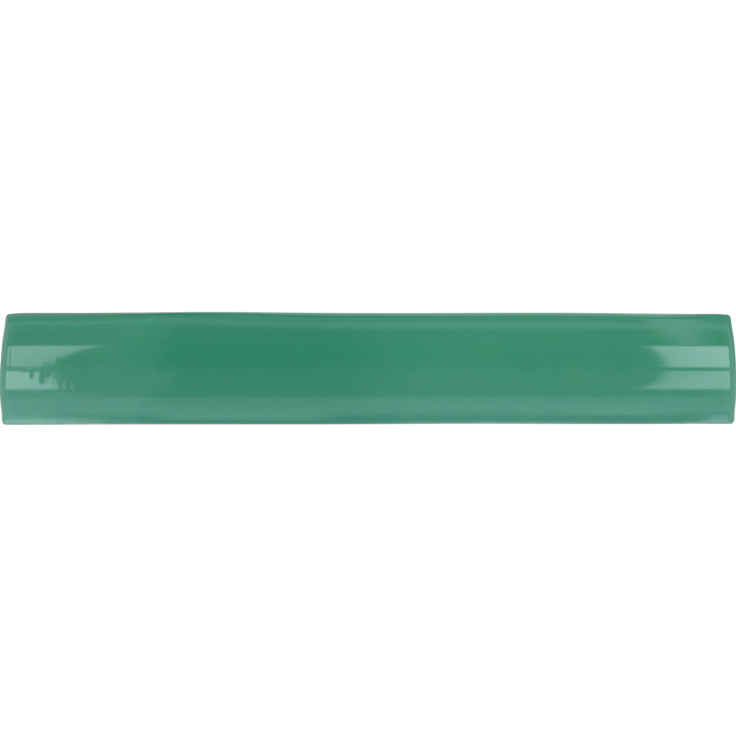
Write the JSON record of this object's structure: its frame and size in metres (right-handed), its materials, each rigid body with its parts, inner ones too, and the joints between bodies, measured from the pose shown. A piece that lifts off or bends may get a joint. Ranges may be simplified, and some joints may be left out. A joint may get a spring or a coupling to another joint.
{
  "type": "pencil liner tile",
  "caption": "Long narrow glazed ceramic trim tile with an off-centre domed face, rolled edges and a flat grooved back; finishes the edge of tiling or runs through it as a band.",
  "frame": {"origin": "centre of the flat back, at the level of the bed it lies on", "axes": "+X along the tile, +Y across it towards its low side, +Z out of the glazed face"},
  "size_m": [0.2, 0.0308, 0.0125],
  "materials": {
    "green_glaze": "glossy green glaze on fired clay"
  },
  "bodies": {
    "root": {"pencil_liner_tile": "green_glaze"}
  },
  "joints": []
}
